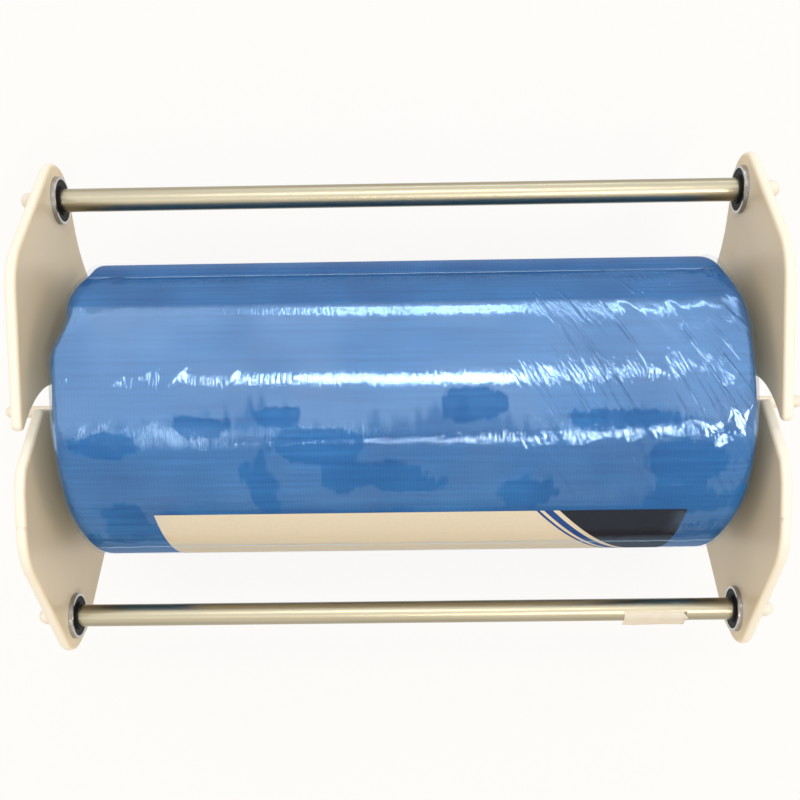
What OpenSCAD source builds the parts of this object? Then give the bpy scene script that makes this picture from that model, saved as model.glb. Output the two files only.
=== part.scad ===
// Counter-top dispenser for a roll of bibs.
// Two side plates carry two guide rods in ball bearings.
// The roll turns on a spindle that lies in curved slots.
// Millimetres. X runs along the rods, -Y is the front, +Z is up.
// The origin is on the counter, midway between the plates and midway between the rods.

/* [Side plates] */
// Thickness of a side plate
plate_t = 5; // [4:0.5:6]
// Height of the plate's top edge above the counter
plate_h = 155; // [150:1:165]
// Length of the flat top edge
top_flat = 128; // [116:1:136]
// Distance from the plate's middle forward to the front of its foot
foot_front = 64; // [58:1:70]
// Distance from the plate's middle back to the rear of its foot
foot_rear = 60; // [54:1:66]
// Height at which the front arm's lower edge would meet the foot's front
front_knee_z = 33; // [29:1:36]
// Height at which the rear arm's lower edge would meet the foot's rear
rear_knee_z = 60; // [52:1:66]
// Radius of the plate's round ends, about the rod axes
tip_r = 17; // [15.5:0.5:18.5]
// Reach of the front arm's chin past the rod axis
chin_reach = 11; // [10:0.5:14]
// Depth of that chin below the rod axis
chin_drop = 18; // [17:0.5:20]
// Rounding of the front arm's chin
chin_r = 10; // [4:1:14]
// Rounding of the corners of the top edge
top_corner_r = 30; // [10:1:40]
// Rounding of the two bottom corners
foot_corner_r = 3; // [1:0.5:6]
// Fillet where the foot meets the arms
arm_fillet_r = 57; // [30:1:62]

/* [Spindle slot] */
// Distance from the plate's middle forward to the slot's mouth
slot_mouth_y = 22; // [18:0.5:26]
// Angle of the slot's radius at the mouth, above the horizontal
slot_exit_angle = 68; // [64:0.5:70]
// Rounding of the plate's nose over the slot's mouth
slot_nose_r = 3; // [1:0.5:5]
// Gap between the spindle's end pin and the slot wall
slot_clearance = 0.3; // [0.2:0.05:0.6]
// Distance from the plate's middle forward to the top of the slot's lead-in ramp
ramp_y = 27; // [24:0.5:32]
// Rounding of the top of the ramp
ramp_corner_r = 6; // [2:0.5:10]
// Depth of the ramp's lower end below the top edge
ramp_drop = 26; // [22:0.5:29]
// Distance from the plate's middle back to the upright wall below the ramp
well_y = 1.5; // [0:0.25:3]
// Rounding between the ramp and that wall
well_corner_r = 2.25; // [0.5:0.25:3]

/* [Guide rods] */
// Distance between the front and rear rod axes
rod_spacing = 202; // [196:1:212]
// Height of the rod axes above the counter
rod_z = 97; // [92:1:102]
// Outside diameter of the rod tubes
rod_d = 10.8; // [10:0.1:11.4]
// Reach of the stub axles past the plates' outer faces
stub_reach = 13; // [10:0.5:18]
// Depth of the stub axles inside the tubes
stub_depth = 20; // [10:1:40]

/* [Bearings] */
// Bore of a bearing, and diameter of the stub axles
bearing_bore = 8; // [7.8:0.1:8.4]
// Outside diameter of a bearing's body
bearing_d = 22; // [21.8:0.1:23]
// Distance that a bearing stands proud of the plate's inner face
bearing_stand = 2; // [1.5:0.1:2.5]
// Width of a bearing
bearing_w = 7; // [7:0.5:9]
// Wall of the bearing's outer ring at its seal seats
ring_wall = 1.2; // [1:0.1:1.4]
// Half the radial space between the two rings
ring_space = 1.4; // [1.2:0.05:1.5]
// Diameter of a ball
ball_d = 3.8; // [3.6:0.05:3.9]
// Balls in one bearing
ball_count = 7; // [5:1:8]
// Radial gap between a ball and its races and cage pocket
ball_gap = 0.07; // [0.05:0.01:0.09]
// Thickness of the cage
cage_t = 1.6; // [1:0.1:2]
// Web of the cage beside each ball
cage_web = 0.35; // [0.2:0.05:0.4]
// Thickness of a seal
seal_t = 0.7; // [0.5:0.1:0.9]
// Depth of a seal below the face of its bearing
seal_inset = 0.2; // [0.1:0.05:0.3]
// Gap between a seal's lip and the inner ring
seal_gap = 0.1; // [0.05:0.01:0.2]
// Thickness of the dust lip that hides the inner ring
lip_t = 0.5; // [0.4:0.05:0.8]
// Gap between the dust lip and the turning pieces
lip_gap = 0.3; // [0.25:0.05:0.4]
// Outside diameter of a retaining ring
clip_d = 13; // [11:0.5:15]
// Thickness of a retaining ring
clip_t = 1; // [0.8:0.1:1.5]

/* [Spindle] */
// Height of the spindle axis above the counter
spindle_z = 78; // [76:0.5:82]
// Outside diameter of the spindle tube
spindle_d = 10; // [9:0.1:12]
// Wall of the spindle tube
spindle_wall = 1.2; // [0.8:0.1:1.5]
// Diameter of the end pins that lie in the slots
pin_d = 6; // [5:0.1:6.8]
// Reach of the end pins past the plates' outer faces
pin_reach = 33; // [20:1:40]
// Gap between the spindle's shoulders, or the hubs, and the plates
end_play = 1; // [0.5:0.1:2]
// Depth of the end pins inside the tube
pin_depth = 18; // [10:1:40]

/* [Roll] */
// Length of the wrapped roll
roll_length = 308; // [290:1:340]
// Gap between each end of the roll and its side plate
roll_gap = 9; // [6:0.5:20]
// Diameter of the wrapped roll
roll_d = 145.2; // [120:0.2:148]
// Thickness of the shrink film
film_t = 0.2; // [0.1:0.05:0.6]
// Rounding of the wrapped roll's rims
roll_rim_r = 6; // [3:0.5:12]
// Diameter of the hole that the film leaves at each end
film_hole_d = 70; // [60:1:110]
// Inside diameter of the cardboard core
core_d = 40; // [36:0.5:46]
// Wall of the cardboard core
core_wall = 2; // [1:0.5:4]
// Depth of a hub inside the core
hub_depth = 25; // [12:1:50]
// Diameter of a hub's flange
hub_flange_d = 50; // [48:1:58]
// Thickness of a hub's flange
hub_flange_t = 3; // [2:0.5:5]
// Diameter of the boss that keeps a hub off the plate
hub_boss_d = 18; // [15:1:30]
// Radial running gap between a hub and the spindle
hub_gap = 0.05; // [0.02:0.01:0.09]

/* [Label and tag] */
// Length of the label along the roll at its upper edge
label_length = 242; // [150:1:260]
// Distance of the label's middle from the roll's middle
label_x = 8; // [-15:1:15]
// Width of the label round the roll
label_width = 58; // [30:1:90]
// Angle of the label's upper edge, forward from the top of the roll
label_angle = 41; // [20:1:80]
// Amount that each slanted end of the label draws in
label_slant = 4; // [0:1:30]
// Thickness of the label, which lies on the paper under the film
label_t = 0.15; // [0.1:0.05:0.4]
// Length of the paper tag on the front rod
tag_length = 31; // [20:1:60]
// Distance of the tag from the right-hand end of the rod tube
tag_inset = 22.5; // [8:0.5:90]
// Angle of the tag's stuck part, forward from the top of the rod
tag_wrap = 60; // [30:5:80]
// Length of the tag's free part
tag_flap = 6; // [3:0.5:9]
// Thickness of the glue under the tag, and of the gap each side of the label
glue_t = 0.05; // [0.02:0.01:0.1]
// Thickness of the tag's paper
tag_t = 0.25; // [0.15:0.05:0.5]

/* [Hidden] */
$fn = 96;
arc_steps = 16;
eps = 0.01;
overcut = 1;

plate_x = roll_length / 2 + roll_gap;
outer_x = plate_x + plate_t;
rod_y = rod_spacing / 2;

// Arc that the slot follows: through the seat and the mouth, square to the given radius at the mouth
slot_w = pin_d + 2 * slot_clearance;
slot_mouth = [-slot_mouth_y, plate_h];
slot_seat = [0, spindle_z];
slot_inward = [-cos(slot_exit_angle), -sin(slot_exit_angle)];
slot_chord = slot_seat - slot_mouth;
slot_r = (slot_chord * slot_chord) / (2 * slot_chord * slot_inward);
slot_centre = slot_mouth + slot_r * slot_inward;
slot_start = atan2(slot_seat.y - slot_centre.y, slot_seat.x - slot_centre.x);
slot_end = 100;

// Nose circle: touches the top edge and the slot's rear wall
slot_wall_r = slot_r + slot_w / 2;
nose_z = plate_h - slot_nose_r;
nose_y = slot_centre.x + sqrt(pow(slot_wall_r + slot_nose_r, 2) - pow(nose_z - slot_centre.y, 2));
nose = [nose_y, nose_z];
nose_touch = slot_centre + slot_wall_r * (nose - slot_centre) / norm(nose - slot_centre);

// Lead-in ramp, and the upright wall that runs from its foot down to the slot's front wall
front_wall_r = slot_r - slot_w / 2;
ramp_top = [-ramp_y, plate_h];
ramp_foot = [well_y, plate_h - ramp_drop];
well_low = [well_y, slot_centre.y - sqrt(pow(front_wall_r, 2) - pow(well_y - slot_centre.x, 2))];

// Bearing: half a section, measured from the bearing's middle plane
bearing_face = plate_x - bearing_stand + bearing_w;
bearing_mid = bearing_face - bearing_w / 2;
pitch_r = (bearing_bore + bearing_d) / 4;
race_r = ball_d / 2 + ball_gap;
inner_ring_r = pitch_r - ring_space;
outer_ring_r = pitch_r + ring_space;
seal_seat_r = bearing_d / 2 - ring_wall;
seal_x = bearing_w / 2 - seal_inset - seal_t;
cage_half = race_r + cage_web;
lip_x = bearing_w / 2 + lip_gap;
lip_root_r = inner_ring_r + seal_gap + lip_t;

rod_tube_half = plate_x - bearing_stand;
spindle_half = plate_x - end_play;
spindle_bore = spindle_d - 2 * spindle_wall;
stub_end = outer_x + stub_reach;
pin_end = outer_x + pin_reach;

roll_r = roll_d / 2;
film_inner_r = roll_r - film_t;
paper_r = film_inner_r - label_t - 2 * glue_t;
paper_rim_r = paper_r - (roll_r - roll_rim_r);
paper_half = roll_length / 2 - film_t;
core_r = core_d / 2 + core_wall;
hub_flange_x = roll_length / 2;

SIDES = [["left", -1], ["right", 1]];
RODS = [["front", -1], ["rear", 1]];
CORNERS = [for (rod = RODS, side = SIDES) [str(rod[0], "_", side[0]), side[1], rod[1]]];
CORNER_PIECES = ["bearing_outer_ring", "bearing_inner_ring", "bearing_balls", "bearing_cage",
    "bearing_seals", "stub_axle", "retaining_ring"];

function unit(v) = v / norm(v);
function heading(v) = atan2(v.y, v.x);
function turn(a) = a > 180 ? a - 360 : a < -180 ? a + 360 : a;

// Points along an arc about centre c, from angle a by the sweep s
function arc_points(c, r, a, s) =
    [for (i = [0:arc_steps]) c + r * [cos(a + s * i / arc_steps), sin(a + s * i / arc_steps)]];

// Points that round the corner q between its neighbours p and s
function rounded(p, q, s, r) =
    let (u = unit(p - q), v = unit(s - q), half = acos(u * v) / 2)
    let (c = q + unit(u + v) * r / sin(half))
    let (a = heading(q + u * r / tan(half) - c), b = heading(q + v * r / tan(half) - c))
    arc_points(c, r, a, turn(b - a));

// Touching angle of the line from p to a circle about c, on the chosen side
function tangent_angle(p, c, r, side) = heading(p - c) + side * acos(r / norm(p - c));

// One half of a plate's outline, from the bottom to the top, as points (distance from the middle, Z).
// The arm's lower edge runs straight to the round end, or to a chin if one is given.
function half_outline(foot_y, knee_z, chin) =
    let (tip = [rod_y, rod_z], foot = [foot_y, 0], knee = [foot_y, knee_z], crown = [top_flat / 2, plate_h])
    let (below = len(chin) > 0 ? chin : knee)
    let (low = tangent_angle(below, tip, tip_r, 1), high = tangent_angle(crown, tip, tip_r, -1))
    let (low_point = tip + tip_r * [cos(low), sin(low)], high_point = tip + tip_r * [cos(high), sin(high)])
    concat(
        rounded([0, 0], foot, knee, foot_corner_r),
        rounded(foot, knee, len(chin) > 0 ? chin : low_point, arm_fillet_r),
        len(chin) > 0 ? rounded(knee, chin, low_point, chin_r) : [],
        arc_points(tip, tip_r, low, turn(high - low)),
        rounded(high_point, crown, [0, plate_h], top_corner_r)
    );

function mirrored(points) = [for (i = [len(points) - 1:-1:0]) [-points[i].x, points[i].y]];

function plate_outline() = concat(
    half_outline(foot_rear, rear_knee_z, []),
    mirrored(half_outline(foot_front, front_knee_z, [rod_y + chin_reach, rod_z - chin_drop]))
);

// Turns a shape drawn about Z so that it lies about X
module along_x() { rotate([0, 90, 0]) children(); }

// A ring about X whose half section is the polygon of (radius, X) points
module turned(points) { along_x() rotate_extrude() polygon(points); }

module tube_x(outer_d, inner_d, half) {
    along_x() difference() {
        cylinder(d = outer_d, h = 2 * half, center = true);
        cylinder(d = inner_d, h = 2 * half + 2 * overcut, center = true);
    }
}

module at_corner(corner) { translate([corner[1] * bearing_mid, corner[2] * rod_y, rod_z]) children(); }

// Flips a shape made for the right-hand side over to the given side
module on_side(side) { mirror([side < 0 ? 1 : 0, 0, 0]) children(); }

module side_plate(side) {
    color("white") on_side(side) difference() {
        translate([plate_x, 0, 0]) rotate([90, 0, 90]) linear_extrude(plate_t)
            polygon(plate_outline());
        for (rod = RODS) translate([plate_x - overcut, rod[1] * rod_y, rod_z])
            along_x() cylinder(d = bearing_d, h = plate_t + 2 * overcut);
        slot_cut();
    }
}

// Draws a flat (Y, Z) shape through the whole thickness of the right-hand plate
module through_plate() {
    translate([plate_x - overcut, 0, 0]) rotate([90, 0, 90])
        linear_extrude(plate_t + 2 * overcut) children();
}

module slot_cut() {
    translate([plate_x - overcut, slot_centre.x, slot_centre.y]) rotate([90, 0, 90]) rotate(slot_start)
        rotate_extrude(angle = slot_end - slot_start) translate([front_wall_r, 0])
            square([slot_w, plate_t + 2 * overcut]);
    translate([plate_x - overcut, slot_seat.x, slot_seat.y]) along_x()
        cylinder(d = slot_w, h = plate_t + 2 * overcut);
    through_plate() difference() {
        polygon([nose, nose_touch, slot_mouth, slot_mouth + [0, overcut], [nose.x, plate_h + overcut]]);
        translate(nose) circle(r = slot_nose_r);
    }
    through_plate() polygon(concat(
        [[slot_mouth.x, plate_h + overcut], [ramp_top.x - ramp_corner_r, plate_h + overcut]],
        rounded([-top_flat / 2, plate_h], ramp_top, ramp_foot, ramp_corner_r),
        rounded(ramp_top, ramp_foot, well_low, well_corner_r),
        [well_low],
        arc_points(slot_centre, slot_r, slot_start, slot_exit_angle - slot_start)
    ));
}

// Ball groove all round a ring
module race() { along_x() rotate_extrude() translate([pitch_r, 0]) circle(r = race_r, $fn = 48); }

module bearing_outer_ring(corner) {
    half = bearing_w / 2;
    color("silver") at_corner(corner) difference() {
        turned([
            [outer_ring_r, -seal_x], [seal_seat_r, -seal_x], [seal_seat_r, -half], [bearing_d / 2, -half],
            [bearing_d / 2, half], [seal_seat_r, half], [seal_seat_r, seal_x], [outer_ring_r, seal_x]
        ]);
        race();
    }
}

module bearing_inner_ring(corner) {
    color("silver") at_corner(corner) difference() {
        tube_x(2 * inner_ring_r, bearing_bore, bearing_w / 2);
        race();
    }
}

module each_ball() {
    for (i = [0:ball_count - 1])
        rotate([360 * i / ball_count, 0, 0]) translate([0, 0, pitch_r]) children();
}

module bearing_balls(corner) { color("silver") at_corner(corner) each_ball() sphere(d = ball_d, $fn = 32); }

module bearing_cage(corner) {
    color("gray") at_corner(corner) difference() {
        tube_x(2 * pitch_r + cage_t, 2 * pitch_r - cage_t, cage_half);
        each_ball() sphere(r = race_r, $fn = 32);
    }
}

// The outer seal is a flat ring. The inner seal has a dust lip that stands round the rod tube.
module bearing_seals(corner) {
    seal_r = inner_ring_r + seal_gap;
    seal_face = seal_x + seal_t;
    lip_r = rod_d / 2 + lip_gap;
    color("black") at_corner(corner) on_side(corner[1]) {
        turned([[seal_r, seal_x], [seal_seat_r, seal_x], [seal_seat_r, seal_face], [seal_r, seal_face]]);
        turned([
            [seal_r, -seal_x], [seal_seat_r, -seal_x], [seal_seat_r, -seal_face], [lip_root_r, -seal_face],
            [lip_root_r, -lip_x - lip_t], [lip_r, -lip_x - lip_t], [lip_r, -lip_x], [seal_r, -lip_x]
        ]);
    }
}

module stub_axle(corner) {
    color("whitesmoke") translate([0, corner[2] * rod_y, rod_z]) on_side(corner[1])
        domed_pin(bearing_bore, rod_tube_half - stub_depth, stub_end);
}

// A round pin along X with a domed outer end
module domed_pin(d, start, end) {
    translate([start, 0, 0]) along_x() cylinder(d = d, h = end - d / 2 - start);
    translate([end - d / 2, 0, 0]) along_x() rotate_extrude() intersection() {
        circle(d = d);
        square(d);
    }
}

module retaining_ring(corner) {
    color("dimgray") translate([corner[1] * (bearing_face + clip_t / 2), corner[2] * rod_y, rod_z])
        tube_x(clip_d, bearing_bore, clip_t / 2);
}

module rod_tube(rod) {
    color("lightsteelblue") translate([0, rod[1] * rod_y, rod_z])
        tube_x(rod_d, bearing_bore, rod_tube_half);
}

// A paper strip stuck on the front rod's top, whose lower part stands straight off the rod
module rod_tag() {
    inner = rod_d / 2 + glue_t;
    along = [-sin(tag_wrap + 90), cos(tag_wrap + 90)] * tag_flap;
    over = arc_points([0, 0], inner + tag_t, 90, tag_wrap);
    under = arc_points([0, 0], inner, 90 + tag_wrap, -tag_wrap);
    color("ivory") translate([rod_tube_half - tag_inset - tag_length, -rod_y, rod_z]) rotate([90, 0, 90])
        linear_extrude(tag_length)
            polygon(concat(over, [over[arc_steps] + along, under[0] + along], under));
}

module spindle_tube() {
    color("lightsteelblue") translate([0, 0, spindle_z])
        tube_x(spindle_d, spindle_bore, spindle_half);
}

module spindle_pin(side) {
    color("whitesmoke") translate([0, 0, spindle_z]) on_side(side) {
        domed_pin(pin_d, spindle_half - eps, pin_end);
        translate([spindle_half - pin_depth, 0, 0]) along_x() cylinder(d = spindle_bore, h = pin_depth);
    }
}

module core_hub(side) {
    boss_end = plate_x - end_play;
    color("whitesmoke") translate([0, 0, spindle_z]) on_side(side) difference() {
        union() {
            translate([hub_flange_x - hub_depth, 0, 0]) along_x() cylinder(d = core_d, h = hub_depth);
            translate([hub_flange_x, 0, 0]) along_x() cylinder(d = hub_flange_d, h = hub_flange_t);
            translate([hub_flange_x, 0, 0]) along_x() cylinder(d = hub_boss_d, h = boss_end - hub_flange_x);
        }
        translate([hub_flange_x - hub_depth - overcut, 0, 0]) along_x()
            cylinder(d = spindle_d + 2 * hub_gap, h = boss_end - hub_flange_x + hub_depth + 2 * overcut);
    }
}

module roll_core() { color("tan") translate([0, 0, spindle_z]) tube_x(2 * core_r, core_d, hub_flange_x); }

// Half section of the roll: a rectangle with its outer corners rounded, as (radius, X) points
function roll_section(inner, outer, half, rim) = concat(
    [[inner, -half]], arc_points([outer - rim, rim - half], rim, -90, 90),
    arc_points([outer - rim, half - rim], rim, 0, 90), [[inner, half]]
);

module bib_roll() {
    color("royalblue") translate([0, 0, spindle_z])
        turned(roll_section(core_r, paper_r, paper_half, paper_rim_r));
}

module shrink_film() {
    color("skyblue") translate([0, 0, spindle_z]) along_x() rotate_extrude() difference() {
        polygon(roll_section(film_hole_d / 2, roll_r, roll_length / 2, roll_rim_r));
        polygon(roll_section(core_r, film_inner_r, paper_half, roll_rim_r - film_t));
    }
}

// A strip round the front of the roll whose ends draw in as it goes down
module roll_label() {
    sweep = label_width / paper_r * 180 / PI;
    inner = paper_r + glue_t;
    high = (inner + label_t) * cos(label_angle);
    low = inner * cos(label_angle + sweep);
    color("ivory") translate([label_x, 0, spindle_z]) intersection() {
        along_x() rotate(180 + label_angle) rotate_extrude(angle = sweep)
            translate([inner, -label_length / 2]) square([label_t, label_length]);
        rotate([90, 0, 0]) linear_extrude(roll_d) polygon([
            [-label_length / 2, high], [label_length / 2, high],
            [label_length / 2 - label_slant, low], [label_slant - label_length / 2, low]
        ]);
    }
}

for (side = SIDES) {
    side_plate(side[1]);
    spindle_pin(side[1]);
    core_hub(side[1]);
}
for (corner = CORNERS) {
    bearing_outer_ring(corner);
    bearing_inner_ring(corner);
    bearing_balls(corner);
    bearing_cage(corner);
    bearing_seals(corner);
    stub_axle(corner);
    retaining_ring(corner);
}
for (rod = RODS)
    rod_tube(rod);
rod_tag();
spindle_tube();
roll_core();
bib_roll();
shrink_film();
roll_label();
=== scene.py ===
"""Looks of the bib roll dispenser: finishes for its CAD pieces, and finer meshes for plates, roll and tag."""

import math

import bpy
import numpy as np
from mathutils import Matrix, Vector
from mathutils.geometry import tessellate_polygon


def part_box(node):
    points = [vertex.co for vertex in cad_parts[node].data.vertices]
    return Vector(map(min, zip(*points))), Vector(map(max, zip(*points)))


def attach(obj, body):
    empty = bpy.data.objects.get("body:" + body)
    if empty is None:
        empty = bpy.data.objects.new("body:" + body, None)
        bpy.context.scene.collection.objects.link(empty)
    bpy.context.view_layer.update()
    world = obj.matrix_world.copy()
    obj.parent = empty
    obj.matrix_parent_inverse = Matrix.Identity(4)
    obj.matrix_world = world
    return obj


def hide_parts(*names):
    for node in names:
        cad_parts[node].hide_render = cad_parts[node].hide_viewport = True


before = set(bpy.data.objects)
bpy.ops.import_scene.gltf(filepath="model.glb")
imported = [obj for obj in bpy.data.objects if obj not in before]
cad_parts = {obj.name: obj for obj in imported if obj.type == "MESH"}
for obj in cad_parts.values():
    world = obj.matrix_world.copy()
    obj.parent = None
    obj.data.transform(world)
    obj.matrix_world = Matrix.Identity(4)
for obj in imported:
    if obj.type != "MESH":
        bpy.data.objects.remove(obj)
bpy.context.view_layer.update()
scene = bpy.context.scene
MM = 0.001


def corners(node):
    """A CAD node's lowest and highest corners at rest, in millimetres."""
    return [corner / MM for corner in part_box(node)]


# Sizes that the CAD nodes give, in millimetres
film_low, film_high = corners("shrink_film")
paper_high = corners("bib_roll")[1]
plate_low, plate_high = corners("right_side_plate")
rod_low, rod_high = corners("front_rod_tube")
label_low, label_high = corners("roll_label")
tag_low, tag_high = corners("rod_tag")
ROLL_Z = (film_low.z + film_high.z) / 2
FILM_R = film_high.z - ROLL_Z
FILM_HALF = film_high.x
PAPER_R = paper_high.z - ROLL_Z
PAPER_HALF = paper_high.x
ROD_Y = (rod_low.y + rod_high.y) / 2
ROD_Z = (rod_low.z + rod_high.z) / 2
ROD_R = rod_high.z - ROD_Z
LABEL_X = (label_low.x + label_high.x) / 2
LABEL_HALF = (label_high.x - label_low.x) / 2
# Once round the film
ROUND = 2 * math.pi * FILM_R

# Places in mm round the roll, forward from its top: the film's lap edge, its welds and the last ply's end
LAP_ARC = -50.4
REAR_WELD_ARC, FRONT_WELD_ARC = -73.0, 80.9
TAIL_ARC = math.radians(-58) * FILM_R
# The label's radius and upper edge, its run round the roll, and how far its lower corners are drawn in
LABEL_R = PAPER_R + 0.1
LABEL_ARC = math.radians(41) * LABEL_R
LABEL_ROUND = 58
LABEL_DRAW = 4


def srgb(code):
    """The linear colour of an sRGB hex code."""
    parts = [int(code[i : i + 2], 16) / 255 for i in (1, 3, 5)]
    return [*(c / 12.92 if c <= 0.04045 else ((c + 0.055) / 1.055) ** 2.4 for c in parts), 1.0]


WHITE = srgb("#FFFFFF")


def add(tree, kind, inputs, outlet=0, **settings):
    """Adds a node, sets or links its inputs, and returns one of its outputs."""
    made = tree.nodes.new("ShaderNode" + kind)
    for name, value in settings.items():
        setattr(made, name, value)
    for name, value in inputs.items():
        if isinstance(value, bpy.types.NodeSocket):
            tree.links.new(value, made.inputs[name])
        else:
            made.inputs[name].default_value = value
    return made.outputs[outlet] if made.outputs else None


def surface(name, constants):
    """A material with one Principled shader, whose constants are set on its own sockets."""
    made = bpy.data.materials.new(name)
    made.use_nodes = True
    shader = made.node_tree.nodes["Principled BSDF"]
    for socket, value in constants.items():
        shader.inputs[socket].default_value = value
    return made, made.node_tree, shader


def speckled(name, dark, pale, patch_mm, rough, constants, fineness=(1, 1, 1), relief_mm=0.0, grain_mm=1.0):
    """A finish whose colour wanders over patches, and whose roughness and relief follow a finer grain.
    Both are drawn this many times finer along X, Y and Z."""
    made, tree, shader = surface(name, constants)
    where = add(tree, "TexCoord", {}, "Object")
    drawn = add(tree, "Mapping", {"Vector": where, "Scale": fineness})
    patch = add(tree, "TexNoise", {"Vector": drawn, "Scale": 1 / (patch_mm * MM), "Detail": 4.0})
    tint = add(tree, "MixRGB", {"Fac": patch, "Color1": srgb(dark), "Color2": srgb(pale)})
    tree.links.new(tint, shader.inputs["Base Color"])
    grain = add(tree, "TexNoise", {"Vector": drawn, "Scale": 1 / (grain_mm * MM), "Detail": 3.0})
    smooth, dull = rough
    gloss = {"Value": grain, "From Min": 0.3, "From Max": 0.7, "To Min": smooth, "To Max": dull}
    tree.links.new(add(tree, "MapRange", gloss), shader.inputs["Roughness"])
    if relief_mm:
        bump = add(tree, "Bump", {"Height": grain, "Strength": 1.0, "Distance": relief_mm * MM})
        tree.links.new(bump, shader.inputs["Normal"])
    return made


def moulded_plastic():
    """Injection-moulded ABS: warm white with a soft gloss; painted shade makes its inner faces yellower, and
    a painted highlight makes its edges whiter.
    """
    made = speckled(
        "moulded_abs_gloss", "#EEE3CC", "#F4EBDA", patch_mm=80, rough=(0.3, 0.4), constants={"IOR": 1.5},
        grain_mm=25
    )
    tree = made.node_tree
    base = tree.nodes["Principled BSDF"].inputs["Base Color"]
    face = base.links[0].from_socket
    # A face that looks along X back to the middle of the dispenser is an inner one
    across = add(tree, "SeparateXYZ", {"Vector": add(tree, "TexCoord", {}, "Normal")}, "X")
    side = add(tree, "SeparateXYZ", {"Vector": add(tree, "TexCoord", {}, "Object")}, "X")
    outward = add(tree, "Math", {0: across, 1: side}, operation="MULTIPLY")
    inner = add(tree, "Math", {0: outward, 1: 0.0}, operation="LESS_THAN")
    # Painted shade: the inner faces, which face the roll, are painted yellower and darker than the outer ones
    inner_face_painted_shade = {"Fac": inner, "Color1": face, "Color2": srgb("#F4EDDF")}
    inner_face_painted_shade = add(tree, "MixRGB", inner_face_painted_shade, blend_type="MULTIPLY")
    # Painted highlight: the rounded edges are painted whiter than the faces
    across = add(tree, "Math", {0: across}, operation="ABSOLUTE")
    edge = add(tree, "MapRange", {"Value": across, "From Min": 0.95, "From Max": 0.5})
    tree.links.new(add(tree, "MixRGB", {"Fac": edge, "Color1": inner_face_painted_shade, "Color2": srgb("#F0EBDC")}), base)
    return made


METAL = {"Metallic": 1.0}
plate_plastic = moulded_plastic()

# Tool marks, brushing and fibres are too fine to show, so their grain is drawn coarser than the real one

# Turned nylon: milky white, and duller than the plates
axle_nylon = speckled(
    "turned_nylon", "#E2DACB", "#F3EEE4", patch_mm=9, rough=(0.38, 0.52), constants={"IOR": 1.53},
    fineness=(4, 1, 1), relief_mm=0.012
)
# Drawn and brushed tube with a warm nickel skin: soft cream bands along its length
tube_steel = speckled(
    "brushed_nickel_tube", "#988E76", "#B2A991", patch_mm=3, rough=(0.28, 0.38), constants=METAL,
    fineness=(0.03, 1, 1), relief_mm=0.002, grain_mm=0.5
)
# Ground bearing steel: cool and bright, with a fine satin grain
ring_steel = speckled(
    "ground_bearing_steel", "#A6A6A6", "#CBCBC9", patch_mm=2, rough=(0.2, 0.32), constants=METAL,
    fineness=(3, 1, 1), relief_mm=0.003, grain_mm=0.4
)
# Pressed steel strip: duller than the rings
cage_steel = speckled(
    "pressed_steel_strip", "#8B8780", "#A9A59E", patch_mm=2, rough=(0.32, 0.48), constants=METAL, grain_mm=0.6
)
# Blackened spring steel: nearly black, with a dull sheen
clip_steel = speckled(
    "blackened_spring_steel", "#35343A", "#4C4A4E", patch_mm=1.5, rough=(0.35, 0.5),
    constants={"Metallic": 0.9}, relief_mm=0.004, grain_mm=0.4
)
# Moulded nitrile rubber: soft black, with a slight bloom
seal_rubber = speckled(
    "moulded_nitrile_rubber", "#080808", "#131211", patch_mm=3, rough=(0.55, 0.7),
    constants={"Specular IOR Level": 0.25}, relief_mm=0.01, grain_mm=0.5
)
# Spiral-wound board: brown, with short fibres along the tube
core_board = speckled(
    "spiral_wound_board", "#8D6E49", "#B59468", patch_mm=6, rough=(0.8, 0.95), constants={},
    fineness=(0.6, 2, 2), relief_mm=0.04, grain_mm=0.7
)
# Uncoated sticker paper: cream, with a soft fibre grain
tag_paper = speckled(
    "uncoated_sticker_paper", "#D8D0C0", "#EAE5DA", patch_mm=5, rough=(0.7, 0.85), constants={},
    relief_mm=0.02, grain_mm=0.5
)


# The roll's finishes use its pieces' UV map in mm: X along the roll, Y round it forward from its top
# There a Mapping's Scale is a pattern's size in mm, along the roll and round it

# Pitch of the strokes pressed into the bibs, along the roll and round it, and size of the dye's clouds
STROKE_MM, ROW_MM, CLOUD_MM = 1.496, 2.856, 45.45
# A wave texture of this scale has one band a millimetre
ONE_BAND = math.pi / 10


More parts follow.
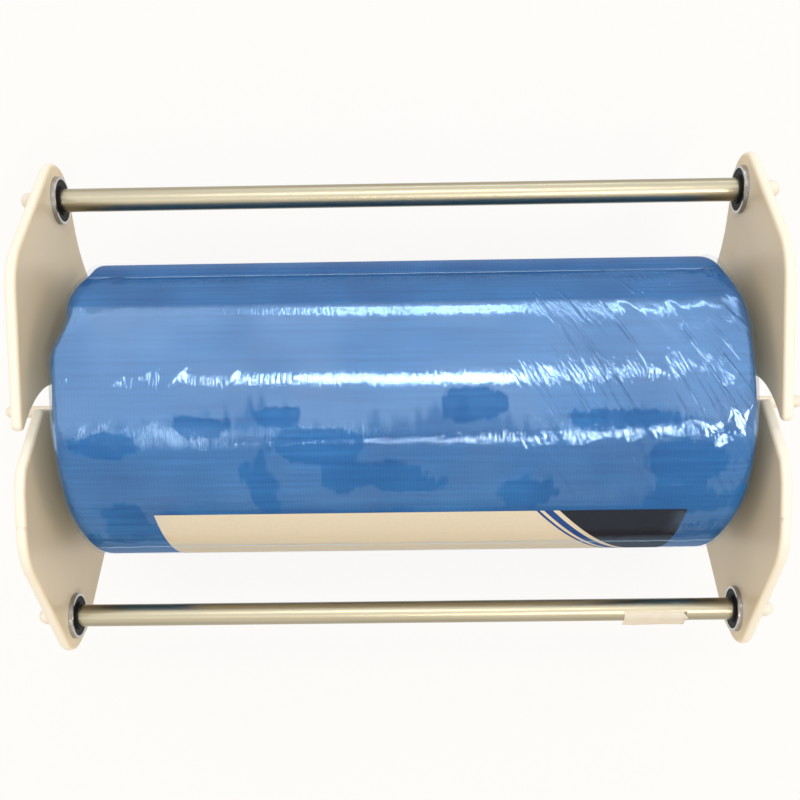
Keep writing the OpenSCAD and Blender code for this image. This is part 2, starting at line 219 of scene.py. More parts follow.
def bib_paper():
    """Embossed poly-backed tissue: deep blue, with rows of short pressed strokes that catch the light, and
    painted shade in their hollows.
    """
    made, tree, shader = surface("embossed_poly_tissue", {"Specular IOR Level": 0.15})
    where = add(tree, "UVMap", {}, uv_map="unrolled")
    strokes = {"Scale": ONE_BAND / STROKE_MM, "Distortion": 1.2, "Detail": 1.0, "Detail Scale": 0.4}
    strokes = add(tree, "TexWave", {"Vector": where, **strokes}, "Fac", bands_direction="X")
    rows = {"Scale": ONE_BAND / ROW_MM, "Distortion": 0.8, "Detail": 1.0, "Detail Scale": 0.3}
    rows = add(tree, "TexWave", {"Vector": where, **rows}, "Fac", bands_direction="Y")
    pressed = add(tree, "Math", {0: strokes, 1: rows}, operation="MULTIPLY")
    # The dye: broad clouds of tone, under thin streaks along the roll
    cloud = add(tree, "TexNoise", {"Vector": where, "Scale": 1 / CLOUD_MM, "Detail": 3.0})
    tone = add(tree, "MapRange", {"Value": cloud, "From Min": 0.35, "From Max": 0.65})
    ground = add(tree, "MixRGB", {"Fac": tone, "Color1": srgb("#125596"), "Color2": srgb("#1F68AC")})
    streaks = add(tree, "Mapping", {"Vector": where, "Scale": (66.67, 2.857, 1)}, vector_type="TEXTURE")
    streak = add(tree, "TexNoise", {"Vector": streaks, "Scale": 1.0, "Detail": 4.0})
    streak = add(tree, "MapRange", {"Value": streak, "From Min": 0.34, "From Max": 0.66})
    # Shares of the dye in thin and in full streaks
    thin, full = (0.7, 0.84, 0.9, 1), (1.35, 1.14, 1.08, 1)
    lined = add(tree, "MixRGB", {"Fac": streak, "Color1": thin, "Color2": full})
    shade = add(tree, "MixRGB", {"Fac": 1.0, "Color1": ground, "Color2": lined}, blend_type="MULTIPLY")
    # The painted shade in the strokes is stronger where the tone is pale
    depth = add(tree, "MapRange", {"Value": cloud, "From Min": 0.4, "From Max": 0.65})
    dots = add(tree, "Math", {0: pressed, 1: depth}, operation="MULTIPLY")
    # Shares of the dye colour between the strokes and in them, where the darker share is painted shade
    raised, hollow_painted_shade = (1.04, 1.03, 1.02, 1), (0.78, 0.84, 0.89, 1)
    dots = add(tree, "MixRGB", {"Fac": dots, "Color1": raised, "Color2": hollow_painted_shade})
    colour = add(tree, "MixRGB", {"Fac": 1.0, "Color1": shade, "Color2": dots}, blend_type="MULTIPLY")
    tree.links.new(colour, shader.inputs["Base Color"])
    gloss = add(tree, "MapRange", {"Value": pressed, "To Min": 0.5, "To Max": 0.65})
    tree.links.new(gloss, shader.inputs["Roughness"])
    bump = add(tree, "Bump", {"Height": pressed, "Strength": 1.0, "Distance": 0.05 * MM}, invert=True)
    tree.links.new(bump, shader.inputs["Normal"])
    return made


def paper_plies():
    """Cut edges of the wound plies: thin blue and white rings on the ends of the roll."""
    made, tree, shader = surface("cut_paper_plies", {"IOR": 1.45})
    where = add(tree, "UVMap", {}, uv_map="unrolled")
    # The plies are 0.18 mm thick, and drawn about three times as wide so that they show
    rings = add(tree, "Mapping", {"Vector": where, "Scale": (0.625, 31.25, 1)}, vector_type="TEXTURE")
    ply = add(tree, "TexNoise", {"Vector": rings, "Scale": 1.0, "Detail": 3.0, "Roughness": 0.6})
    step = add(tree, "MapRange", {"Value": ply, "From Min": 0.38, "From Max": 0.62})
    colour = add(tree, "MixRGB", {"Fac": step, "Color1": srgb("#3E77B4"), "Color2": srgb("#C9D6E4")})
    tree.links.new(colour, shader.inputs["Base Color"])
    gloss = add(tree, "MapRange", {"Value": ply, "To Min": 0.8, "To Max": 0.95})
    tree.links.new(gloss, shader.inputs["Roughness"])
    bump = add(tree, "Bump", {"Height": ply, "Strength": 1.0, "Distance": 0.25 * MM})
    tree.links.new(bump, shader.inputs["Normal"])
    return made


# Heights of the film's fine relief, in mm, and the width of its crinkles
RIB_MM, DASH_MM, CREASE_MM, CRINKLE_MM = 0.143, 0.308, 0.484, 0.066
CRINKLE_WIDTH = 10


def film_relief(tree, where, crinkle, slack):
    """The film's relief in mm: upright ribs where it is tight, slanting dashes and creases where slack."""
    ribs = add(tree, "Mapping", {"Vector": where, "Scale": (1.25, 6.25, 1)}, vector_type="TEXTURE")
    rib = add(tree, "TexNoise", {"Vector": ribs, "Scale": 1.0, "Detail": 2.0})
    rib = add(tree, "Math", {0: rib, 1: RIB_MM}, operation="MULTIPLY")
    dashes = {"Vector": where, "Rotation": (0, 0, math.radians(62)), "Scale": (7, 1.3, 1)}
    dashes = add(tree, "Mapping", dashes, vector_type="TEXTURE")
    dash = add(tree, "TexNoise", {"Vector": dashes, "Scale": 1.0, "Detail": 2.0})
    dash = add(tree, "Math", {0: dash, 1: DASH_MM}, operation="MULTIPLY")
    fine = add(tree, "MixRGB", {"Fac": slack, "Color1": rib, "Color2": dash})
    creases = {"Vector": where, "Rotation": (0, 0, math.radians(60)), "Scale": (60, 2.6, 1)}
    creases = add(tree, "Mapping", creases, vector_type="TEXTURE")
    crease = add(tree, "TexNoise", {"Vector": creases, "Scale": 1.0, "Detail": 2.0})
    crease = add(tree, "MapRange", {"Value": crease, "From Min": 0.56, "From Max": 0.68})
    crease = add(tree, "Math", {0: crease, 1: slack}, operation="MULTIPLY")
    height = add(tree, "Math", {0: crinkle, 1: CRINKLE_MM, 2: fine}, operation="MULTIPLY_ADD")
    return add(tree, "Math", {0: crease, 1: CREASE_MM, 2: height}, operation="MULTIPLY_ADD")


# How many faces' worth the film mirrors, wetted out and over air, and the most that one face mirrors
WETTED_FACES, LOOSE_FACES, FACE_GLINT = 0.4, 4.6, 0.055
# The welds' half width and wander in mm, and how much they add to what the film mirrors
WELD_HALF, WELD_WANDER, WELD_GLINT = 0.35, 1.4, 0.45


def shrink_film():
    """Clear shrink film: it mirrors the lamps in combed strokes, and veils the paper over trapped air."""
    made = bpy.data.materials.new("clear_shrink_film")
    made.use_nodes = True
    tree = made.node_tree
    tree.nodes.clear()
    where = add(tree, "UVMap", {}, uv_map="unrolled")
    slack, wet, loose = (
        add(tree, "Attribute", {}, "Fac", attribute_name=name) for name in ("slack", "wetted", "air_gap")
    )
    crinkle = add(tree, "TexNoise", {"Vector": where, "Scale": 1 / CRINKLE_WIDTH, "Detail": 2.0})
    height = film_relief(tree, where, crinkle, slack)
    bump = add(tree, "Bump", {"Height": height, "Strength": 1.0, "Distance": MM})
    # The wetted patches have combed edges, and there the film and the paper mirror as one face
    comb = add(tree, "Mapping", {"Vector": where, "Scale": (3.333, 20, 1)}, vector_type="TEXTURE")
    comb = add(tree, "TexNoise", {"Vector": comb, "Scale": 1.0, "Detail": 4.0, "Roughness": 0.65})
    wet = add(tree, "Math", {0: comb, 1: 1.5, 2: wet}, operation="MULTIPLY_ADD")
    dry = {"Value": wet, "From Min": 1.1, "From Max": 1.4, "To Min": 1.0, "To Max": 0.15}
    loose = add(tree, "Math", {0: loose, 1: add(tree, "MapRange", dry)}, operation="MULTIPLY")
    faces = add(tree, "MapRange", {"Value": loose, "To Min": WETTED_FACES, "To Max": LOOSE_FACES})
    glint = add(tree, "Fresnel", {"IOR": 1.5, "Normal": bump})
    glint = add(tree, "Math", {0: glint, 1: FACE_GLINT}, operation="MINIMUM")
    share = add(tree, "Math", {0: glint, 1: faces}, operation="MULTIPLY")
    # The welds are thin bright lines
    round_roll = add(tree, "SeparateXYZ", {"Vector": where}, "Y")
    wander = add(tree, "Math", {0: crinkle, 1: WELD_WANDER, 2: round_roll}, operation="MULTIPLY_ADD")
    for place in (REAR_WELD_ARC, FRONT_WELD_ARC):
        weld = add(tree, "Math", {0: wander, 1: place, 2: WELD_HALF}, operation="COMPARE")
        share = add(tree, "Math", {0: weld, 1: WELD_GLINT, 2: share}, operation="MULTIPLY_ADD")
    gloss = add(tree, "MapRange", {"Value": crinkle, "To Min": 0.05, "To Max": 0.14})
    mirror = add(tree, "BsdfGlossy", {"Color": srgb("#C0E0FF"), "Roughness": gloss, "Normal": bump})
    clear = add(tree, "BsdfTransparent", {"Color": WHITE})
    film = add(tree, "MixShader", {0: share, 1: clear, 2: mirror})
    add(tree, "OutputMaterial", {"Surface": film})
    return made


# The label's print: each band's edges in mm along the roll, carried up its slant to the top, and its ink
PRINT_BANDS = ((30.0, 90.0, "#2A2A33"), (23.0, 27.0, "#2B4E92"), (19.5, 21.0, "#2B4E92"))
# How far the bands lean along the roll for each mm round it
PRINT_LEAN = 0.8
# Size of the clouds that the paper's fibres make
FIBRE_CLOUD_MM = 2


def label_paper():
    """Coated label stock: cream, with a slanted charcoal block and two narrow bars printed at one end.
    It has no shine of its own, because the film lies over it."""
    made, tree, shader = surface("coated_label_stock", {"Specular IOR Level": 0.0})
    where = add(tree, "UVMap", {}, uv_map="unrolled")
    along = add(tree, "SeparateXYZ", {"Vector": where}, "X")
    down = add(tree, "SeparateXYZ", {"Vector": where}, "Y")
    leaning = add(tree, "Math", {0: down, 1: -PRINT_LEAN, 2: along}, operation="MULTIPLY_ADD")
    cloud = add(tree, "TexNoise", {"Vector": where, "Scale": 1 / FIBRE_CLOUD_MM, "Detail": 4.0})
    colour = add(tree, "MixRGB", {"Fac": cloud, "Color1": srgb("#DED2BB"), "Color2": srgb("#E7DDCA")})
    for start, end, ink in PRINT_BANDS:
        after = add(tree, "Math", {0: leaning, 1: start}, operation="GREATER_THAN")
        before = add(tree, "Math", {0: leaning, 1: end}, operation="LESS_THAN")
        inside = add(tree, "Math", {0: after, 1: before}, operation="MULTIPLY")
        colour = add(tree, "MixRGB", {"Fac": inside, "Color1": colour, "Color2": srgb(ink)})
    tree.links.new(colour, shader.inputs["Base Color"])
    gloss = add(tree, "MapRange", {"Value": cloud, "To Min": 0.42, "To Max": 0.55})
    tree.links.new(gloss, shader.inputs["Roughness"])
    return made


# Rows of random values that the noise is drawn from, enough for the whole roll at its finest cell
NOISE_ROWS = 512


def ramp(value, low, high):
    """Smooth step from 0 at low to 1 at high."""
    t = np.clip((value - low) / (high - low), 0, 1)
    return t * t * (3 - 2 * t)


def hump(distance, width):
    """A smooth hump: 1 in its middle, and nearly nothing at twice its width away."""
    return np.exp(-((distance / width) ** 2))


def noise(u, v, seed, cell_mm, cells_round):
    """Smooth seeded noise from -1 to 1 over the unrolled roll, which meets itself round the roll."""
    table = np.random.default_rng(seed).uniform(-1, 1, (NOISE_ROWS, cells_round))
    i, j = u / cell_mm + NOISE_ROWS // 2, v / ROUND * cells_round
    i0, j0 = np.floor(i).astype(int), np.floor(j).astype(int)
    fi, fj = ramp(i - i0, 0, 1), ramp(j - j0, 0, 1)
    this, ahead = j0 % cells_round, (j0 + 1) % cells_round
    near, far = (
        table[row % NOISE_ROWS, this] * (1 - fj) + table[row % NOISE_ROWS, ahead] * fj for row in (i0, i0 + 1)
    )
    return near * (1 - fi) + far * fi


def ruffle(u, v, *waves):
    """A sum of noises, each given as its height, its seed, its cell in mm and its cells round the roll."""
    return sum(height * noise(u, v, *pattern) for height, *pattern in waves)


def rim_profile(inner, outer, half, rim, along, end_steps):
    """(x, radius) points of the roll in mm: out over one end, round its rim, along it and back in."""
    turn = np.radians(np.linspace(0, 90, 9))
    right = [(half - rim + rim * math.cos(t), outer - rim + rim * math.sin(t)) for t in turn]
    right = [(half, r) for r in np.linspace(inner, outer - rim, end_steps)[:-1]] + right
    left = [(-x, r) for x, r in right]
    middle = [(x, outer) for x in np.linspace(-half + rim, half - rim, along)[1:-1]]
    return left + middle + right[::-1]


def ring_mesh(profile, count):
    """A profile turned about the roll's axis: grids of each point's x, radius, run along the profile and arc
    round the roll in mm, then the faces and their unrolled corners."""
    x, r = np.array(profile, float).T
    run = np.concatenate([[0], np.cumsum(np.hypot(np.diff(x), np.diff(r)))])
    run -= run[-1] / 2
    arc = (np.arange(count + 1) / count - 0.5) * ROUND
    row, col = (a.ravel() for a in np.meshgrid(np.arange(len(x) - 1), np.arange(count), indexing="ij"))
    corner_rows = np.stack([row, row, row + 1, row + 1], 1)
    corner_cols = np.stack([col, col + 1, col + 1, col], 1)
    faces = corner_rows * count + corner_cols % count
    unrolled = np.stack([run[corner_rows], arc[corner_cols]], -1)
    along = [np.repeat(values[:, None], count, 1) for values in (x, r, run)]
    return *along, np.repeat(arc[None, :-1], len(x), 0), faces, unrolled


def turned_points(x, r, turn):
    """Points in metres, at these angles about the roll's axis forward from its top."""
    return np.stack([x, -r * np.sin(turn), ROLL_Z + r * np.cos(turn)], -1).reshape(-1, 3) * MM


def strip_faces(rows, cols):
    """Faces of a strip of rows by cols points."""
    row, col = (a.ravel() for a in np.meshgrid(np.arange(rows - 1), np.arange(cols - 1), indexing="ij"))
    here, next_row = row * cols + col, (row + 1) * cols + col
    return np.stack([here, next_row, next_row + 1, here + 1], 1)


def piece(name, points, faces, finishes, body, node, unrolled=None, face_finish=None):
    """A new mesh that rides on a body in place of a CAD node."""
    mesh = bpy.data.meshes.new(name)
    mesh.from_pydata(np.asarray(points).tolist(), [], [list(map(int, f)) for f in faces])
    for finish in finishes:
        mesh.materials.append(finish)
    mesh.polygons.foreach_set("use_smooth", [True] * len(mesh.polygons))
    if face_finish is not None:
        mesh.polygons.foreach_set("material_index", [int(index) for index in face_finish])
    if unrolled is not None:
        layer = mesh.uv_layers.new(name="unrolled")
        layer.data.foreach_set("uv", np.asarray(unrolled, float).ravel())
    mesh.update()
    made = bpy.data.objects.new(name, mesh)
    scene.collection.objects.link(made)
    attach(made, body)
    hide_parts(node)
    return made


# Where the left rim stands out or in, in mm: how far, its place round the roll and its width
LEFT_RIM = ((1.6, -26, 9), (-2.6, -46, 11), (-4, -84, 18))


def rim_shift(x, arc, half):
    """How far the roll's rims stand out or in along X, in mm: uneven where the film has pulled on them."""
    side = np.where(x < 0, -1.0, 1.0)
    uneven = 0.9 * noise(side * 40, arc, 70, 30, 18)
    left = sum(out * hump(arc - place, width) for out, place, width in LEFT_RIM)
    right = 2.2 * (1 - ramp(np.abs(arc), 45, 85))
    return side * (uneven + np.where(x < 0, left, right)) * ramp(np.abs(x), half - 16, half - 2)


# The wound paper in mm: its bore, its rims, and its last ply's step with the radius where that begins
PAPER_BORE_R, PAPER_RIM = 22, 9
PLY_STEP, STEP_R = 0.18, 50
PAPER_SIDES = 180


def wound_paper():
    """The wound bibs, with the step of their last ply at the rear and the cut plies on their ends."""
    profile = rim_profile(PAPER_BORE_R, PAPER_R, PAPER_HALF, PAPER_RIM, along=80, end_steps=6)
    x, r, _, arc, faces, unrolled = ring_mesh(profile, PAPER_SIDES)
    since_tail = ((arc - TAIL_ARC) % ROUND) / ROUND
    ply = PLY_STEP * np.where(r > STEP_R, since_tail, 0)
    flat = np.abs(x[:, 0]) > PAPER_HALF - 0.5
    is_end = flat[:-1] & flat[1:]
    points = turned_points(x + rim_shift(x, arc, PAPER_HALF), r - ply, arc / FILM_R)
    finishes = [bib_paper(), paper_plies()]
    face_finish = np.repeat(is_end, PAPER_SIDES)
    piece("bib_roll_paper", points, faces, finishes, "roll", "bib_roll", unrolled, face_finish)


# The film in mm: the radius where its gathered ends stop, its rims, and how deep it may dip
FILM_END_R, FILM_RIM, FILM_DIP = 35, 6, 0.05
# How many sides, gathers and folds it has
FILM_SIDES, GATHERS, FOLDS = 220, 34, 26


def film_lift(x, run, arc):
    """How far the film stands off the paper in mm: swells, crumpled ends, slanting folds, welds and lap."""
    lift = ruffle(run, arc, (0.06, 3, 34, 16), (0.02, 4, 9, 60))
    near_end = ramp(np.abs(x), FILM_HALF - 55, FILM_HALF - 8)
    lift += near_end * ruffle(run, arc, (0.35, 5, 11, 46), (0.25, 6, 5, 90))
    near_right = ramp(x, FILM_HALF - 26, FILM_HALF - 6)
    lift += near_right * ruffle(run, arc, (0.4, 10, 6, 60), (0.25, 11, 3, 130))
    rng = np.random.default_rng(21)
    for fold in range(FOLDS):
        side = 1 if fold % 3 else -1
        start_run, start_arc = side * rng.uniform(55, 120), rng.uniform(-60, 30)
        sweep_run, sweep_arc = side * rng.uniform(18, 42), rng.uniform(25, 60)
        from_run, from_arc, length = run - start_run, arc - start_arc, math.hypot(sweep_run, sweep_arc)
        along = (from_run * sweep_run + from_arc * sweep_arc) / length**2
        off = (from_run * sweep_arc - from_arc * sweep_run) / length
        off += 1.5 * noise(run, arc, 30 + fold, 20, 30)
        reach = ramp(along, -0.05, 0.25) * (1 - ramp(along, 0.75, 1.05))
        lift += rng.uniform(0.12, 0.32) * reach * hump(off, rng.uniform(1.3, 2.6))
    raised = ((FRONT_WELD_ARC, 0.15, 1.0), (LAP_ARC, 0.16, 1.1), (REAR_WELD_ARC, 0.12, 0.9))
    for line, height, width in raised:
        wander = 0.5 * noise(run, arc, int(abs(line)), 40, 8)
        lift += height * hump(arc - line + wander, width) * (np.abs(x) < FILM_HALF - 4)
    return lift


# Patches where the film has wetted out, in mm: their middle along and round the roll, and their half sizes
WET_PATCHES = (
    (-56, 2, 14, 5), (-35, 17, 18, 8), (-62, 36, 8, 15), (-84, 7, 14, 5), (-128, 15, 15, 6),
    (-126, 56, 13, 15), (31, -2, 13, 8), (127, 26, 18, 11), (129, 45, 22, 9), (55, 41, 12, 9),
    (-10, 30, 26, 8), (95, 6, 20, 5), (8, 66, 118, 13),
)


def wetted(run, arc):
    """How far the film has wetted out, from 0 to 1, in ragged patches."""
    ragged = ruffle(run, arc, (0.4, 50, 14, 36), (0.2, 51, 5, 100))
    wet = np.zeros_like(run)
    for centre_run, centre_arc, half_run, half_arc in WET_PATCHES:
        far = np.hypot((run - centre_run) / half_run, (arc - centre_arc) / half_arc) + ragged
        wet = np.maximum(wet, 1 - ramp(far, 0.5, 1.5))
    return wet


def air_gap(x, run, arc):
    """How much air lies under the film, from 0 to 1: most from its lap to the roll's top, and at its rims."""
    lap = arc + 0.5 * noise(run, arc, 53, 30, 8)
    lapped = ramp(lap, LAP_ARC - 0.8, LAP_ARC + 0.8) * (1 - ramp(arc, 72, 80))
    frayed = ruffle(run, arc, (9, 54, 30, 14), (5, 55, 2.6, 26))
    veil = 1 - 0.6 * ramp(arc + frayed, 2, 10)
    haze = hump(run + 98, 26) * hump(arc + 0.4 * frayed - 9, 6)
    on_label = ramp(arc, 46, 52) * (1 - ramp(np.abs(run - LABEL_X), 112, 122))
    patchy = 0.85 + 0.15 * noise(run, arc, 52, 18, 30)
    air = lapped * np.maximum(veil, 1.4 * haze) * patchy * (1 - on_label)
    behind_lap = 0.34 * ramp(arc, -78, -70) * (1 - lapped)
    at_rims = ramp(np.abs(x), FILM_HALF - 7, FILM_HALF - 3) * (0.6 + 0.4 * noise(run, arc, 56, 4, 90))
    return np.maximum(np.maximum(air, behind_lap), at_rims)


def slackness(run, arc):
    """Where the film is slack enough to crease, from 0 to 1: towards the right-hand end, above the label."""
    towards_end = ramp(run + 12 * noise(run, arc, 60, 20, 24), 40, 75)
    patchy = ramp(0.5 + noise(run, arc, 61, 22, 20), 0.1, 0.7)
    return towards_end * patchy * (1 - ramp(arc, 36, 46))


def film_wrap():
    """The film: tight over the paper, with bridging folds, crumpled rims and gathered ends."""
    profile = rim_profile(FILM_END_R, FILM_R, FILM_HALF, FILM_RIM, along=230, end_steps=14)
    x, r, run, arc, faces, unrolled = ring_mesh(profile, FILM_SIDES)
    on_end = 1 - ramp(r, FILM_R - 10, FILM_R - 1)
    gather = 0.5 + 0.5 * np.sin(arc / FILM_R * GATHERS + 2.5 * noise(r, arc, 8, 15, 12))
    pucker = on_end * (0.3 + 1.3 * (FILM_R - r) / FILM_R) * gather
    points_x = x + np.sign(x) * pucker + rim_shift(x, arc, FILM_HALF)
    lift = np.maximum(film_lift(x, run, arc), -FILM_DIP)
    points_r = r + (1 - on_end) * lift + on_end * 0.4 * noise(r, arc, 9, 10, 40)
    points = turned_points(points_x, points_r, arc / FILM_R)
    made = piece("film_wrap", points, faces, [shrink_film()], "roll", "shrink_film", unrolled)
    amounts = {"air_gap": air_gap(x, run, arc), "wetted": wetted(run, arc), "slack": slackness(run, arc)}
    for name, amount in amounts.items():
        layer = made.data.attributes.new(name, "FLOAT", "POINT")
        layer.data.foreach_set("value", amount.ravel().astype(np.float32))


def label_sheet():
    """The label: a cut strip that lies on the paper, narrower along its lower edge."""
    rows, cols = 90, 40
    down = np.linspace(0, 1, cols)[None] + np.zeros((rows, 1))
    across = np.linspace(-LABEL_HALF, LABEL_HALF, rows)[:, None]
    along = LABEL_X + across * (1 - LABEL_DRAW / LABEL_HALF * down)
    arc = LABEL_ARC + LABEL_ROUND * down
    points = turned_points(along, LABEL_R, arc / LABEL_R)
    faces = strip_faces(rows, cols)
    unrolled = np.stack([along.ravel(), arc.ravel()], -1)[faces]
    piece("label_sheet", points, faces, [label_paper()], "roll", "roll_label", unrolled)


# The tag: its radius in mm and its wrap on the rod, its free flap, and how far its torn end falls short
TAG_R, TAG_WRAP = ROD_R + 0.2, math.radians(60)
TAG_FLAP, TAG_TEAR = 5.6, 1.2


def torn_tag():
    """The tag: a torn strip of paper over the front rod, whose lower part stands off it."""
    rows, cols = 40, 22
    wrapped = TAG_R * TAG_WRAP
    reach = np.linspace(0, wrapped + TAG_FLAP, cols)
    tear = TAG_TEAR + np.random.default_rng(5).uniform(-0.6, 0.6, cols) + 1.1 * np.sin(reach * 1.3)
    points = []
    for along in np.linspace(0, 1, rows):
        for down, torn in zip(reach, tear):
            turn = min(down / TAG_R, TAG_WRAP)
            free = max(0, down - wrapped)
            out = TAG_R + 0.25 * (1 - math.cos(free * 0.5)) + 0.02 * math.sin(7 * along) * free
            y = -out * math.sin(turn) - free * math.cos(turn)
            z = out * math.cos(turn) - free * math.sin(turn)
            end = tag_high.x - (torn if along > 0.99 else 0)
            points.append((tag_low.x + (end - tag_low.x) * along, ROD_Y + y, ROD_Z + z))
    outward = strip_faces(rows, cols)[:, [0, 3, 2, 1]]
    piece("torn_tag", np.array(points) * MM, outward, [tag_paper], "front_rod", "rod_tag")


# Rounding of the plates' outline and of their two bores, in mm
PLATE_ROUND, BORE_ROUND = 2.1, 0.4


def face_loops(node):
    """The closed loops round a plate's outer face: (Y, Z) points in mm, with the plastic on their left."""
    mesh = node.data
    spots = np.array([tuple(node.matrix_world @ v.co) for v in mesh.vertices]) / MM
    keys = [tuple(np.round(spot, 3)) for spot in spots]
    follows = {}
    for face in mesh.polygons:
        ring = [keys[i] for i in face.vertices]
        if all(abs(spot[0] - plate_high.x) < 0.01 for spot in ring):
            for a, b in zip(ring, ring[1:] + ring[:1]):
                if a in follows.get(b, []):
                    follows[b].remove(a)
                else:
                    follows.setdefault(a, []).append(b)
    loops = []
    while any(follows.values()):
        at = next(a for a in follows if follows[a])
        loop = []
        while follows[at]:
            loop.append(at[1:])
            at = follows[at].pop()
            follows.setdefault(at, [])
        loops.append(np.array(loop))
    return sorted(loops, key=len, reverse=True)


def inset(points, amount):
    """A closed outline moved inwards along its corners' mean normals, with long mitres held back."""
    ahead, behind = np.roll(points, -1, 0) - points, points - np.roll(points, 1, 0)
    sides = [np.stack([-d[:, 1], d[:, 0]], 1) / np.linalg.norm(d, axis=1)[:, None] for d in (ahead, behind)]
    mean = sides[0] + sides[1]
    mean /= np.linalg.norm(mean, axis=1)[:, None]
    return points + amount * mean / np.clip((mean * sides[0]).sum(1), 0.5, 1)[:, None]


def side_plate(name, loops, inner_x, outer_x, node):
    """A plate with rounded edges: rings of its loops across the thickness, closed by flat faces."""
    thick = abs(outer_x - inner_x)
    toward = 1 if outer_x > inner_x else -1
    quarter = np.radians(np.linspace(0, 90, 7))
    points, faces, flats = [], [], []
    ends = [[], []]
    for loop, edge in zip(loops, (PLATE_ROUND, BORE_ROUND, BORE_ROUND)):
        section = [(edge - edge * math.sin(t), edge - edge * math.cos(t)) for t in quarter]
        section += [(cut, thick - depth) for cut, depth in reversed(section)]
        first, n = len(points), len(loop)
        rings = [inset(loop, cut) for cut, _ in section]
        for ring, (_, depth) in zip(rings, section):
            points += [(inner_x + toward * depth, y, z) for y, z in ring]
        for k in range(len(section) - 1):
            for i in range(n):
                a, b = first + k * n + i, first + k * n + (i + 1) % n
                faces.append((a, b, b + n, a + n) if toward > 0 else (a, a + n, b + n, b))
        ends[0].append((first, rings[0]))
        ends[1].append((first + (len(section) - 1) * n, rings[-1]))
    for is_outer, borders in enumerate(ends):
        index = [start + i for start, ring in borders for i in range(len(ring))]
        for tri in tessellate_polygon([[Vector((y, z, 0)) for y, z in ring] for _, ring in borders]):
            tri = [index[i] for i in tri]
            (ya, za), (yb, zb), (yc, zc) = (points[i][1:] for i in tri)
            faces_right = (yb - ya) * (zc - za) - (yc - ya) * (zb - za) > 0
            flats.append(len(faces))
            faces.append(tri if faces_right == (bool(is_outer) == (toward > 0)) else tri[::-1])
    made = piece(name, np.array(points) * MM, faces, [plate_plastic], "frame", node)
    for i in flats:
        made.data.polygons[i].use_smooth = False


# The pieces that stand for CAD nodes
wound_paper()
film_wrap()
label_sheet()
plate_loops = face_loops(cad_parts["right_side_plate"])
side_plate("right_plate_moulding", plate_loops, plate_low.x, plate_high.x, "right_side_plate")
side_plate("left_plate_moulding", plate_loops, -plate_low.x, -plate_high.x, "left_side_plate")
torn_tag()

# Finishes of the CAD nodes that stay, by the endings of their names
NODE_FINISH = {
    "bearing_outer_ring": (ring_steel, "bearing_steel"), "bearing_inner_ring": (ring_steel, "bearing_steel"),
    "bearing_balls": (ring_steel, "bearing_steel"), "bearing_cage": (cage_steel, "cage_steel"),
    "bearing_seals": (seal_rubber, "seal_rubber"), "stub_axle": (axle_nylon, "white_nylon"),
    "retaining_ring": (clip_steel, "spring_steel"), "rod_tube": (tube_steel, "rod_steel"),
    "spindle_tube": (tube_steel, "rod_steel"), "pin": (axle_nylon, "white_nylon"),
    "core_hub": (axle_nylon, "white_nylon"), "roll_core": (core_board, "core_cardboard"),
}
for name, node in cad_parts.items():
    for ending, (finish, slot_name) in NODE_FINISH.items():
        if name.endswith(ending):
            node.data.materials.clear()
            node.data.materials.append(finish)


# The studio: floor, lamps, room and camera


def backdrop_rays(tree):
    """1 for the rays that see a white backdrop: the camera's, and those that shiny and clear pieces cast."""
    seen = add(tree, "LightPath", {}, "Is Camera Ray")
    for ray in ("Is Glossy Ray", "Is Transmission Ray"):
        seen = add(tree, "Math", {0: seen, 1: add(tree, "LightPath", {}, ray)}, operation="MAXIMUM")
    return seen


# The floor's half width in metres, and how much of it those rays see as white; the rest keeps the shadow
FLOOR_HALF = 12
FLOOR_WHITE = 0.88


def lay_floor():
    """A plain warm board, which the camera and the bright metal see almost as a white backdrop."""
    mesh = bpy.data.meshes.new("floor")
    square = [(FLOOR_HALF * x, FLOOR_HALF * y, 0) for x, y in ((-1, -1), (1, -1), (1, 1), (-1, 1))]
    mesh.from_pydata(square, [], [(0, 1, 2, 3)])
    paint = speckled(
        "matt_painted_board", "#E9DBC3", "#EEE2CE", patch_mm=300, rough=(0.85, 0.95), constants={}, grain_mm=4
    )
    tree = paint.node_tree
    board = tree.nodes["Principled BSDF"].outputs[0]
    share = add(tree, "Math", {0: backdrop_rays(tree), 1: FLOOR_WHITE}, operation="MULTIPLY")
    white = add(tree, "Emission", {"Color": WHITE, "Strength": 1.0})
    shown = add(tree, "MixShader", {0: share, 1: board, 2: white})
    tree.links.new(shown, tree.nodes["Material Output"].inputs["Surface"])
    mesh.materials.append(paint)
    floor = bpy.data.objects.new("floor", mesh)
    scene.collection.objects.link(floor)


# The point that the lamps are aimed at, in metres
AIM = Vector((0, 0, 0.12))


def lamp(name, place, wide, deep, radiance, colour="#FFFFFF", bounces=8):
    """A rectangular lamp aimed at the roll, in metres, its wide side level. Power is radiance x pi x area."""
    light = bpy.data.lights.new(name, "AREA")
    light.shape = "RECTANGLE"
    light.size, light.size_y = wide, deep
    light.energy = radiance * math.pi * wide * deep
    light.color = srgb(colour)[:3]
    light.cycles.max_bounces = bounces
    made = bpy.data.objects.new(name, light)
    made.location = place
    made.rotation_euler = (AIM - Vector(place)).to_track_quat("-Z", "Y").to_euler()
    scene.collection.objects.link(made)


def over(degrees, distance, x=0.0):
    """A place this far from the lamps' aim, at this angle from overhead towards the rear."""
    t = math.radians(degrees)
    return (x, distance * math.sin(t), AIM.z + distance * math.cos(t))


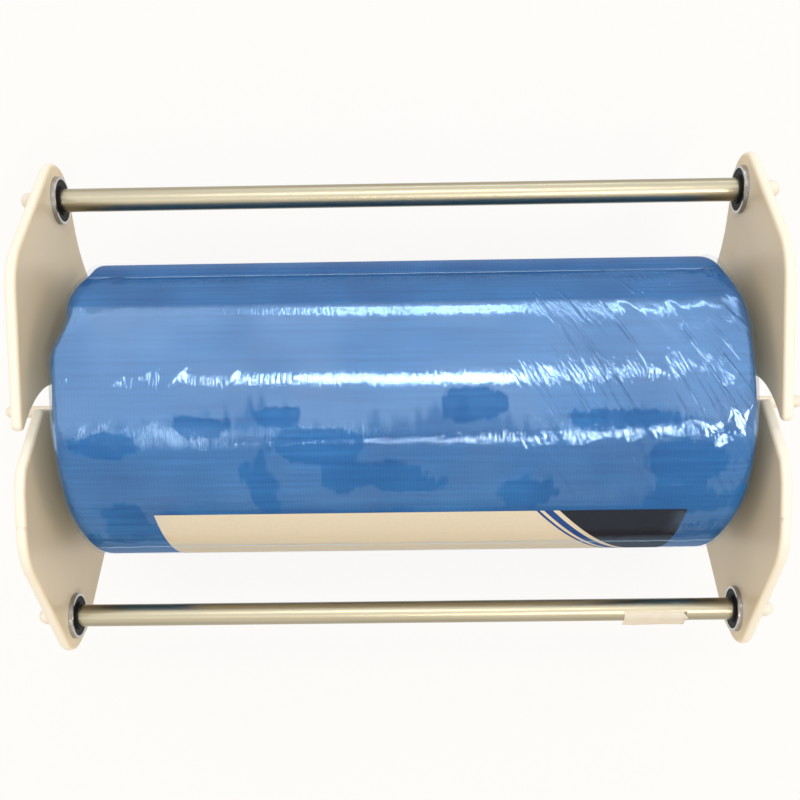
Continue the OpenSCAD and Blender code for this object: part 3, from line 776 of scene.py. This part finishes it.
def light_studio():
    """Broad soft panels, and small bright lamps for the film's highlights, whose light bounces only once."""
    lamp("rear_panel", over(32, 1.8), wide=3.2, deep=4.4, radiance=0.82, colour="#E6F0FF")
    lamp("front_panel", over(-50, 1.9), wide=3.2, deep=1.8, radiance=0.38, colour="#FFFAF2")
    for side in (-1, 1):
        lamp("side_panel", (2.0 * side, 0, 0.42), wide=2.4, deep=0.7, radiance=1.1)
    tube = {"colour": "#FFFDF8", "bounces": 1}
    lamp("ceiling_tube", over(21.5, 2.2, 0.06), wide=0.95, deep=0.24, radiance=12, **tube)
    lamp("rear_window", over(76, 2.0, 0.3), wide=1.1, deep=0.12, radiance=7, colour="#EAF6FF", bounces=1)
    lamp("front_tube", over(-20, 2.2, 0.66), wide=0.75, deep=0.12, radiance=40, **tube)
    lamp("front_spot", over(-25.5, 2.2), wide=0.2, deep=0.08, radiance=28, **tube)
    lamp("side_window", over(-21, 2.2, -0.58), wide=0.3, deep=0.65, radiance=2.4, bounces=1)


def surround():
    """A dim warm room that lights the object, and that the camera and the shiny pieces see as white."""
    world = bpy.data.worlds.new("studio")
    world.use_nodes = True
    scene.world = world
    tree = world.node_tree
    room = tree.nodes["Background"]
    room.inputs["Color"].default_value = srgb("#EDD8B6")
    room.inputs["Strength"].default_value = 0.5
    white = add(tree, "Background", {"Color": WHITE, "Strength": 1.0})
    shown = add(tree, "MixShader", {0: backdrop_rays(tree), 1: room.outputs[0], 2: white})
    tree.links.new(shown, tree.nodes["World Output"].inputs["Surface"])


# The camera's place in metres, and its turns about X, Y and Z in radians
EYE = (0.00514, 0.00384, 0.57597)
TURN_X, TURN_Y, TURN_Z = 0.082, -0.0132, 0.0128
# Its focal length and frame in pixels, its sensor in mm, and its shift as a share of the frame
FOCAL_PX, FRAME_PX, SENSOR_MM = 983.17, 800, 36
SHIFT_UP = 0.1


def set_camera():
    """A camera over the dispenser, tilted a little towards the front."""
    camera = bpy.data.objects.new("camera", bpy.data.cameras.new("camera"))
    camera.data.sensor_width = SENSOR_MM
    camera.data.lens = FOCAL_PX / FRAME_PX * SENSOR_MM
    camera.data.shift_y = SHIFT_UP
    tilt = Matrix.Rotation(TURN_Z, 3, "Z") @ Matrix.Rotation(TURN_Y, 3, "Y") @ Matrix.Rotation(TURN_X, 3, "X")
    camera.matrix_world = Matrix.Translation(EYE) @ tilt.transposed().to_4x4()
    scene.collection.objects.link(camera)
    scene.camera = camera


lay_floor()
light_studio()
surround()
set_camera()
scene.view_settings.view_transform = "Standard"
